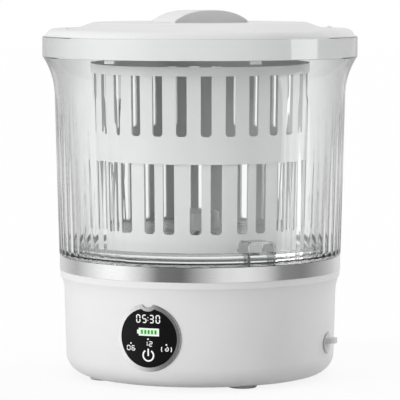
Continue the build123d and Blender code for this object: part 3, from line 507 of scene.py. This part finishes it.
def flute_dip(angle, z):
    """How deep the flutes cut at a place on the tub's outside. Each is a rod's hollow, shallower
    upwards and rounded off at its foot, and blends into the wall."""
    step = 360 / flute_count
    turn = round(angle / step) * step
    from_window = abs((turn - window_angle + 180) % 360 - 180)
    if from_window <= window_half:
        return 0.0
    low = ring_top + flute_start
    rise = (z - low) / flute_length
    side = math.radians(angle - turn) * foot_radius
    below = min(0.0, z - low)
    depth = flute_depth * (1 - max(0.0, rise)) - (side**2 + below**2) / (2 * flute_rod)
    if depth <= -flute_reach:
        return 0.0
    return (depth + math.sqrt(depth**2 + flute_blend**2)) / 2


def tub_rows():
    """The tub's section as rings of radius, height and whether the flutes cut them, from the
    spigot's inner top, under the floor, round the outside to the floor's rim."""
    rise = (tub_draft, flare_start - ring_top)
    slope = tub_draft / (flare_start - ring_top)
    flare_width = collar_radius - flare_foot[0]
    flare_height = math.sqrt(flare_radius**2 - (flare_radius - flare_width) ** 2)
    flare_top = (collar_radius, flare_start + flare_height)
    inner_flare_foot = (flare_foot[0] - flare_wall, flare_start)
    inner_flare_width = inner_flare_radius - math.sqrt(inner_flare_radius**2 - flare_height**2)
    inner_flare_top = (inner_flare_foot[0] + inner_flare_width, flare_top[1])
    inner_foot = (foot_radius - tub_wall + slope * foot_fillet, ring_top + foot_fillet)
    floor_rim = (inner_foot[0] - foot_fillet, ring_top)
    foot = (foot_radius + slope * edge_round, ring_top + edge_round)
    flute_end = (foot_radius + slope * 2 * flute_start, ring_top + 2 * flute_start)

    spigot = [
        (spigot_inner, ring_top - tub_floor),
        (spigot_inner, spigot_foot),
        (spigot_outer, spigot_foot),
        (spigot_outer, ring_top),
        (foot_radius - edge_round, ring_top),
        foot,
    ]
    outside = line(foot, flute_end, flute_end_rows) + line(flute_end, flare_foot, wall_rows)
    collar = [
        (collar_radius, tub_high.z - edge_round),
        (collar_radius - edge_round, tub_high.z),
        (collar_inner + edge_round, tub_high.z),
        (collar_inner, tub_high.z - edge_round),
        (collar_inner, ledge_z),
        (inner_flare_top[0], ledge_z),
    ]
    inner_flare = tangent_arc(inner_flare_foot, rise, inner_flare_top, flare_rows)
    above = tangent_arc(flare_foot, rise, flare_top, flare_rows) + collar
    above += inner_flare[::-1] + [inner_flare_foot]
    above += line(inner_flare_foot, inner_foot, inner_wall_rows)
    above += tangent_arc(inner_foot, (0, -1), floor_rim, fillet_rows)
    stretches = ((spigot, False), (outside, True), (above, False))
    return [(*row, fluted) for rows, fluted in stretches for row in rows]


def closed_loop(build, points):
    """A closed loop of vertices."""
    return [build.verts.new(point) for point in points]


def small_loop(build, centre, radius, z):
    """A closed loop round a bore or a spout."""
    return closed_loop(build, [(x, y, z) for x, y in circle(centre, radius, circle_steps)])


def bridge(build, loops):
    """Quads from each closed loop to the next one, which has as many vertices."""
    for lower, upper in zip(loops, loops[1:]):
        for number in range(len(lower)):
            after = (number + 1) % len(lower)
            build.faces.new((lower[number], lower[after], upper[after], upper[number]))


def fill_between(build, loops):
    """A flat floor between a rim and the holes in it."""
    edges = []
    for loop in loops:
        for number, vertex in enumerate(loop):
            pair = (vertex, loop[(number + 1) % len(loop)])
            edges.append(build.edges.get(pair) or build.edges.new(pair))
    bmesh.ops.triangle_fill(build, use_beauty=True, use_dissolve=False, edges=edges)


def make_tub():
    """The tub, with the bore for its nut and the spout of its drain through the floor."""
    build = bmesh.new()
    count = flute_count * flute_steps
    angles = [360 * number / count for number in range(count)]
    wall = []
    for radius, z, fluted in tub_rows():
        radii = [radius - flute_dip(angle, z) if fluted else radius for angle in angles]
        wall.append(closed_loop(build, [polar(r, angle, z) for r, angle in zip(radii, angles)]))
    bridge(build, wall)
    top, under = ring_top, ring_top - tub_floor
    bulkhead = [small_loop(build, (0, 0), bulkhead_bore, z) for z in (under, top)]
    bridge(build, bulkhead)
    drain = polar(drain_circle, drain_angle, 0)[:2]
    spout = [small_loop(build, drain, drain_bore + drain_wall, z) for z in (under, tub_low.z)]
    spout += [small_loop(build, drain, drain_bore, z) for z in (tub_low.z, top)]
    bridge(build, spout)
    fill_between(build, [wall[0], bulkhead[0], spout[0]])
    fill_between(build, [wall[-1], bulkhead[1], spout[-1]])
    bmesh.ops.recalc_face_normals(build, faces=build.faces)
    tub = new_piece("clear_tub", build, slot_materials["clear_tub"])
    tub.data.shade_smooth()
    tub.data.set_sharp_from_angle(angle=sharp_angle)
    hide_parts("tub")
    return tub


clear_tub = make_tub()


# Signs on the display

lens = frame["nodes"]["panel_lens"]
lens_skin = BVHTree.FromPolygons([v.co for v in lens.data.vertices], [p.vertices for p in lens.data.polygons])
bezel_low, bezel_high = (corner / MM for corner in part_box("panel_bezel"))
panel_z = bezel_low.z + (bezel_high.x - bezel_low.x) / 2
before_lens = bezel_low.y - ray_start

# The seven bars of a digit, from and to in shares of its width and height, and those that each lights
digit_bars = {
    "a": ((0, 1), (1, 1)),
    "b": ((1, 1), (1, 0.5)),
    "c": ((1, 0.5), (1, 0)),
    "d": ((0, 0), (1, 0)),
    "e": ((0, 0.5), (0, 0)),
    "f": ((0, 1), (0, 0.5)),
    "g": ((0, 0.5), (1, 0.5)),
}
digit_signs = {
    "0": "abcdef",
    "1": "bc",
    "2": "abged",
    "3": "abgcd",
    "5": "afgcd",
    "6": "afgcde",
}


def on_lens(x, z):
    """The place on the lens, in millimetres, behind a point of the panel's drawing."""
    start = Vector((x, before_lens, panel_z + z)) * MM
    hit = lens_skin.ray_cast(start, Vector((0, 1, 0)))[0]
    return Vector((x, hit.y / MM, panel_z + z))


def make_sign(name, outlines, material, layers=1.0):
    """A thin printed sign that follows the lens, from flat outlines on the panel. More layers make it
    stand over another sign."""
    proud = layers * sign_proud
    build = bmesh.new()
    known = {}
    for outline in outlines:
        corners = []
        for x, z in outline:
            key = (round(x, corner_decimals), round(z, corner_decimals))
            if key not in known:
                known[key] = build.verts.new(on_lens(x, z) - Vector((0, proud, 0)))
            corners.append(known[key])
        build.faces.new(corners)
    grown = bmesh.ops.extrude_face_region(build, geom=build.faces[:])
    for item in grown["geom"]:
        if isinstance(item, bmesh.types.BMVert):
            item.co.y += proud
    bmesh.ops.recalc_face_normals(build, faces=build.faces)
    return new_piece(name, build, material)


def bar(start, end, stroke, gap):
    """A pointed bar from start to end, as in a lit digit, with a gap at each end."""
    length = math.hypot(end[0] - start[0], end[1] - start[1])
    along = ((end[0] - start[0]) / length, (end[1] - start[1]) / length)
    across = (-along[1], along[0])
    half = stroke / 2
    marks = [
        (gap, 0),
        (gap + half, half),
        (length - gap - half, half),
        (length - gap, 0),
        (length - gap - half, -half),
        (gap + half, -half),
    ]
    return [
        (start[0] + far * along[0] + side * across[0], start[1] + far * along[1] + side * across[1])
        for far, side in marks
    ]


def digit(sign, centre, size, stroke):
    """The bars of one digit."""
    width, height = size[0] - stroke, size[1] - stroke
    left, low = centre[0] - width / 2, centre[1] - height / 2
    outlines = []
    for letter in digit_signs[sign]:
        start, end = ((left + x * width, low + z * height) for x, z in digit_bars[letter])
        outlines.append(bar(start, end, stroke, stroke * bar_gap_share))
    return outlines


def dot(centre, radius):
    """The outline of a dot."""
    return circle(centre, radius, dot_steps)


def arc_band(centre, radius, stroke, start, end, growth=0.0, steps=28):
    """Quads along an arc between two angles, in degrees from the right, that may grow as a spiral."""
    marks = []
    for number in range(steps + 1):
        share = number / steps
        turn = math.radians(start + (end - start) * share)
        middle = radius + growth * share
        edges = (middle - stroke / 2, middle + stroke / 2)
        marks.append([(centre[0] + r * math.cos(turn), centre[1] + r * math.sin(turn)) for r in edges])
    return [[*before, *after[::-1]] for before, after in zip(marks, marks[1:])]


def plate(centre, width, height, columns=18):
    """A rectangle in narrow columns, so that it follows the lens."""
    left, low, high = centre[0] - width / 2, centre[1] - height / 2, centre[1] + height / 2
    edges = [left + width * number / columns for number in range(columns + 1)]
    return [[(a, low), (b, low), (b, high), (a, high)] for a, b in zip(edges, edges[1:])]


def make_clock(white):
    """The time, with a colon between hours and minutes."""
    outlines = []
    for x, sign in clock_digits:
        outlines += digit(sign, (x, clock_rise), digit_size, digit_stroke)
    outlines += [dot((colon_x, clock_rise + side * colon_half), colon_dot) for side in (-1, 1)]
    make_sign("clock_sign", outlines, white)


def make_charge(white, pale, green):
    """The charge sign: a battery lying on its side, with its bars lit."""
    width, height = charge_size
    middle = (charge_x, charge_rise)
    make_sign("charge_sign", plate(middle, width, height), white)
    inside = plate(middle, width - 2 * charge_frame, height - 2 * charge_frame)
    make_sign("charge_glow", inside, pale, field_layers)
    nub_x = charge_x - width / 2 - charge_nub_gap - charge_nub_width / 2
    make_sign("charge_nub", plate((nub_x, charge_rise), charge_nub_width, height / 2, columns=2), white)
    side_margin, end_margin = charge_bar_margins
    pitch = (width - 2 * side_margin) / charge_bars
    bars = []
    for number in range(charge_bars):
        x = charge_x + (number - (charge_bars - 1) / 2) * pitch
        bars += plate((x, charge_rise), pitch * charge_bar_share, height - 2 * end_margin, columns=2)
    make_sign("charge_bars", bars, green, bar_layers)


def make_program(name, signs, centre, white):
    """A program's minutes, with a dot above them."""
    outlines = []
    for place, sign in enumerate(signs):
        x = centre[0] + (place - (len(signs) - 1) / 2) * label_pitch
        outlines += digit(sign, (x, centre[1]), label_size, label_stroke)
    outlines.append(dot((centre[0], centre[1] + label_dot), label_stroke))
    make_sign(name, outlines, white)


def make_spin(white):
    """The spin program's sign: a swirl between two short arcs, with a dot above."""
    middle = (label_spread, label_rise)
    outlines = arc_band(
        middle, swirl_start, label_stroke, *swirl_turns, growth=swirl_growth, steps=swirl_steps
    )
    for facing in (0, 180):
        ends = (facing - swirl_side_half, facing + swirl_side_half)
        outlines += arc_band(middle, swirl_side_radius, label_stroke, *ends, steps=swirl_side_steps)
    outlines.append(dot((label_spread, label_rise + label_dot), label_stroke))
    make_sign("spin_program_sign", outlines, white)


def make_power(white):
    """The power sign: an open ring with a stem through its opening."""
    top = 90
    ends = (top + power_opening, top + 360 - power_opening)
    outlines = arc_band((0, power_rise), power_radius, power_stroke, *ends)
    stem = (0, power_rise + power_radius * power_stem_middle)
    outlines += plate(stem, power_stroke, power_radius * power_stem_length, columns=2)
    make_sign("power_sign", outlines, white)


lit_white = glowing("lit_white", (1.0, 1.0, 1.0))
lit_pale_green = glowing("lit_pale_green", (0.62, 0.95, 0.62))
lit_green = glowing("lit_green", (0.006, 0.33, 0.006))
make_clock(lit_white)
make_charge(lit_white, lit_pale_green, lit_green)
make_program("short_program_sign", "06", (-label_spread, label_rise), lit_white)
make_program("long_program_sign", "12", (0, middle_label_rise), lit_white)
make_spin(lit_white)
make_power(lit_white)


# Floor, studio and camera

def seen_directly(tree, path):
    """One for what the camera sees, straight or through glass."""
    return compute(tree, "MAXIMUM", path.outputs["Is Camera Ray"], path.outputs["Is Transmission Ray"])


def make_floor():
    """A sheet of white paper that the camera sees nearly as bright as the backdrop."""
    material, tree, shader = new_material("floor_paper")
    paper = clouds(tree, floor_cloud_scale, grey(floor_albedo), grey(floor_albedo + floor_cloud))
    tree.links.new(paper, shader.inputs["Base Color"])
    shader.inputs["Roughness"].default_value = floor_roughness
    path = add(tree, "ShaderNodeLightPath")
    glow = add(tree, "ShaderNodeEmission", Strength=floor_glow)
    share = compute(tree, "MULTIPLY", seen_directly(tree, path), floor_glow_share)
    mixed_surface(tree, share, shader, glow)
    build = bmesh.new()
    bmesh.ops.create_grid(build, x_segments=floor_squares, y_segments=floor_squares, size=floor_reach)
    floor = mesh_object("floor", build, material)
    floor.visible_glossy = False


def make_world():
    """White behind the object, soft grey light on it, and bright and dark cards in its reflections.
    The cards' ramp runs once round the object, with the camera's side in its middle."""
    world = bpy.data.worlds.new("studio")
    bpy.context.scene.world = world
    world.use_nodes = True
    tree = world.node_tree
    background = tree.nodes["Background"]
    background.inputs["Color"].default_value = (1, 1, 1, 1)
    place = add(tree, "ShaderNodeTexCoord")
    axes = add(tree, "ShaderNodeSeparateXYZ")
    tree.links.new(place.outputs["Generated"], axes.inputs[0])
    back = compute(tree, "MULTIPLY", axes.outputs["Y"], -1.0)
    azimuth = compute(tree, "ARCTAN2", axes.outputs["X"], back)
    turned = compute(tree, "SUBTRACT", azimuth, camera_azimuth)
    share = compute(tree, "DIVIDE", turned, 2 * math.pi)
    wrapped = compute(tree, "FRACT", compute(tree, "ADD", share, 0.5))
    cards = add(tree, "ShaderNodeValToRGB")
    cards.color_ramp.interpolation = "LINEAR"
    stops = cards.color_ramp.elements
    for angle, level in reflected_studio:
        stops.new(angle / 360 + 0.5).color = (*grey(level), 1)
    stops.remove(stops[-1])
    stops.remove(stops[0])
    tree.links.new(wrapped, cards.inputs[0])
    path = add(tree, "ShaderNodeLightPath")
    glossy = path.outputs["Is Glossy Ray"]
    mirrored = compute(tree, "MULTIPLY", cards.outputs["Color"], glossy)
    plain = compute(tree, "MULTIPLY", compute(tree, "SUBTRACT", 1.0, glossy), ambient_level)
    level = compute(tree, "ADD", mirrored, plain)
    direct = seen_directly(tree, path)
    hidden = compute(tree, "MULTIPLY", compute(tree, "SUBTRACT", 1.0, direct), level)
    tree.links.new(compute(tree, "ADD", hidden, direct), background.inputs["Strength"])


def new_lamp(name, kind, towards):
    """A lamp that shines from a direction."""
    data = bpy.data.lights.new(name, kind)
    lamp = linked(name, data)
    lamp.rotation_euler = towards.to_track_quat("Z", "Y").to_euler()
    return data, lamp


def make_lamps():
    """The soft suns of the studio, which nothing mirrors."""
    for name, (strength, azimuth, elevation, spread_angle) in studio_lamps.items():
        turn = camera_azimuth + math.radians(azimuth)
        rise = math.radians(elevation)
        towards = Vector((math.sin(turn) * math.cos(rise), -math.cos(turn) * math.cos(rise), math.sin(rise)))
        data, lamp = new_lamp(name, "SUN", towards)
        data.energy = strength
        data.angle = math.radians(spread_angle)
        lamp.visible_glossy = False
        lamp.visible_transmission = False


def make_softbox(mirror):
    """The softbox, linked to the one piece that mirrors it."""
    right, near, height = softbox_place
    across = Vector((math.cos(camera_azimuth), math.sin(camera_azimuth), 0))
    towards_camera = Vector((math.sin(camera_azimuth), -math.cos(camera_azimuth), 0))
    place = across * right + towards_camera * near
    data, lamp = new_lamp("softbox", "AREA", place)
    lamp.location = (place + Vector((0, 0, height))) * MM
    data.shape = "RECTANGLE"
    data.size, data.size_y = (size * MM for size in softbox_size)
    data.energy = softbox_power
    receivers = bpy.data.collections.new("mirrors_of_the_softbox")
    receivers.objects.link(mirror)
    lamp.light_linking.receiver_collection = receivers


def make_camera():
    """The photograph's camera."""
    data = bpy.data.cameras.new("camera")
    data.lens = camera_lens
    data.sensor_width = sensor_width
    camera = linked("camera", data)
    away = Vector((math.sin(camera_azimuth), -math.cos(camera_azimuth), 0)) * camera_distance
    camera.location = (away + Vector((0, 0, camera_height))) * MM
    aim = Vector((0, 0, aim_height)) * MM
    camera.rotation_euler = (aim - camera.location).to_track_quat("-Z", "Y").to_euler()
    bpy.context.scene.camera = camera


make_floor()
make_world()
make_lamps()
make_softbox(clear_tub)
make_camera()
bpy.context.scene.view_settings.view_transform = "Standard"
bpy.context.scene.cycles.diffuse_bounces = diffuse_bounces
